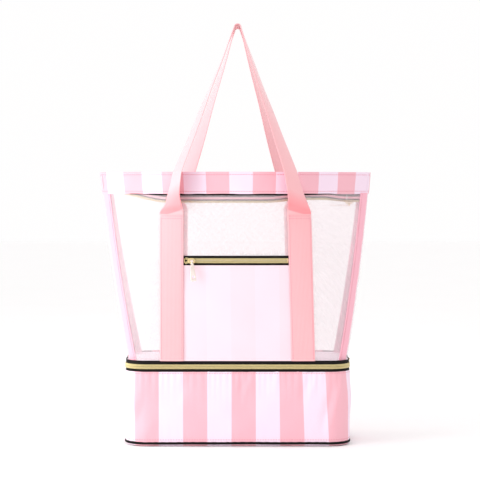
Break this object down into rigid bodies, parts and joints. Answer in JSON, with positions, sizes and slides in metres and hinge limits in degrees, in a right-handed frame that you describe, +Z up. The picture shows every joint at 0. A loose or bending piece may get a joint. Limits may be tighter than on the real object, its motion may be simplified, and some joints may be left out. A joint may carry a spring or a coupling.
{
  "type": "beach bag",
  "caption": "Sheer mesh tote bag with webbing handles and a zipped front pocket, standing on a striped insulated cooler base that zips to it.",
  "frame": {"origin": "under the middle of the base, on the surface the bag stands on", "axes": "+Z up, -Y the front with the pocket, +X to the right seen from the front"},
  "size_m": [0.4526, 0.2614, 0.691],
  "materials": {
    "stripe_fabric": "striped woven polyester, matt",
    "base_fabric": "woven polyester, matt",
    "lilac_fabric": "pale woven polyester, matt",
    "mesh": "sheer net, see-through",
    "binding": "folded seam tape",
    "webbing": "ribbed polyester webbing",
    "zip_tape": "woven zip tape",
    "piping": "corded piping",
    "zip_teeth": "gold coil",
    "gold_metal": "plated, polished",
    "foil": "metallised film",
    "foam": "closed-cell foam",
    "board": "stiff plastic board"
  },
  "bodies": {
    "cooler": {"cooler_wall": "stripe_fabric", "base_panel": "base_fabric", "base_piping": "piping", "base_board": "board", "base_foam": "foam", "wall_foam": "foam", "foil_liner": "foil", "lower_zip_tape": "zip_tape", "lower_zip_teeth": "zip_teeth", "cooler_zip_stops": "gold_metal", "hinge_fabric_lower": "base_fabric"},
    "tote": {"hinge_fabric_upper": "base_fabric", "upper_zip_tape": "zip_tape", "upper_zip_teeth": "zip_teeth", "lid_foil": "foil", "lid_foam": "foam", "tote_floor": "lilac_fabric", "front_mesh": "mesh", "rear_mesh": "mesh", "left_mesh": "mesh", "right_mesh": "mesh", "front_left_binding": "binding", "front_right_binding": "binding", "rear_left_binding": "binding", "rear_right_binding": "binding", "front_band": "stripe_fabric", "rear_band": "stripe_fabric", "left_band": "stripe_fabric", "right_band": "stripe_fabric", "top_zip_front_tape": "zip_tape", "top_zip_rear_tape": "zip_tape", "top_zip_front_teeth": "zip_teeth", "top_zip_rear_teeth": "zip_teeth", "top_zip_stub": "zip_tape", "front_left_leg": "webbing", "front_right_leg": "webbing", "rear_left_leg": "webbing", "rear_right_leg": "webbing", "pocket_panel": "lilac_fabric", "pocket_zip_upper_tape": "zip_tape", "pocket_zip_lower_tape": "zip_tape", "pocket_zip_teeth": "zip_teeth", "pocket_zip_stops": "gold_metal"},
    "pocket_slider": {"pocket_slider": "gold_metal"},
    "pocket_pull": {"pocket_pull": "gold_metal"},
    "cooler_slider": {"cooler_slider": "gold_metal"},
    "cooler_pull": {"cooler_pull": "gold_metal"},
    "top_slider": {"top_slider": "gold_metal"},
    "top_pull": {"top_pull": "gold_metal"},
    "front_handle": {"front_handle": "webbing"},
    "rear_handle": {"rear_handle": "webbing"}
  },
  "joints": [
    {"name": "lid_hinge", "type": "hinge", "parent": "cooler", "child": "tote", "pos_m": [0, 0.0805, 0.13], "axis": [-1, 0, 0], "range_deg": [0, 95]},
    {"name": "cooler_zip_slide", "type": "slide", "parent": "cooler", "child": "cooler_slider", "axis": [0, -1, 0], "range_m": [0, 0.076]},
    {"name": "cooler_pull_swing", "type": "hinge", "parent": "cooler_slider", "child": "cooler_pull", "pos_m": [0.1896, 0.038, 0.13], "axis": [0, -1, 0], "range_deg": [0, 150]},
    {"name": "pocket_zip_slide", "type": "slide", "parent": "tote", "child": "pocket_slider", "axis": [1, 0, 0], "range_m": [0, 0.151]},
    {"name": "pocket_pull_swing", "type": "hinge", "parent": "pocket_slider", "child": "pocket_pull", "pos_m": [-0.072, -0.10738, 0.304], "axis": [-1, 0, 0], "range_deg": [0, 160]},
    {"name": "top_zip_slide", "type": "slide", "parent": "tote", "child": "top_slider", "axis": [1, 0, 0], "range_m": [0, 0.018]},
    {"name": "top_pull_swing", "type": "hinge", "parent": "top_slider", "child": "top_pull", "pos_m": [0.19, 0, 0.392], "axis": [0, -1, 0], "range_deg": [0, 90]},
    {"name": "front_handle_swing", "type": "hinge", "parent": "tote", "child": "front_handle", "pos_m": [0, -0.1115, 0.3797], "axis": [1, 0, 0], "range_deg": [0, 120]},
    {"name": "rear_handle_swing", "type": "hinge", "parent": "tote", "child": "rear_handle", "pos_m": [0, 0.1115, 0.3797], "axis": [-1, 0, 0], "range_deg": [0, 120]}
  ]
}
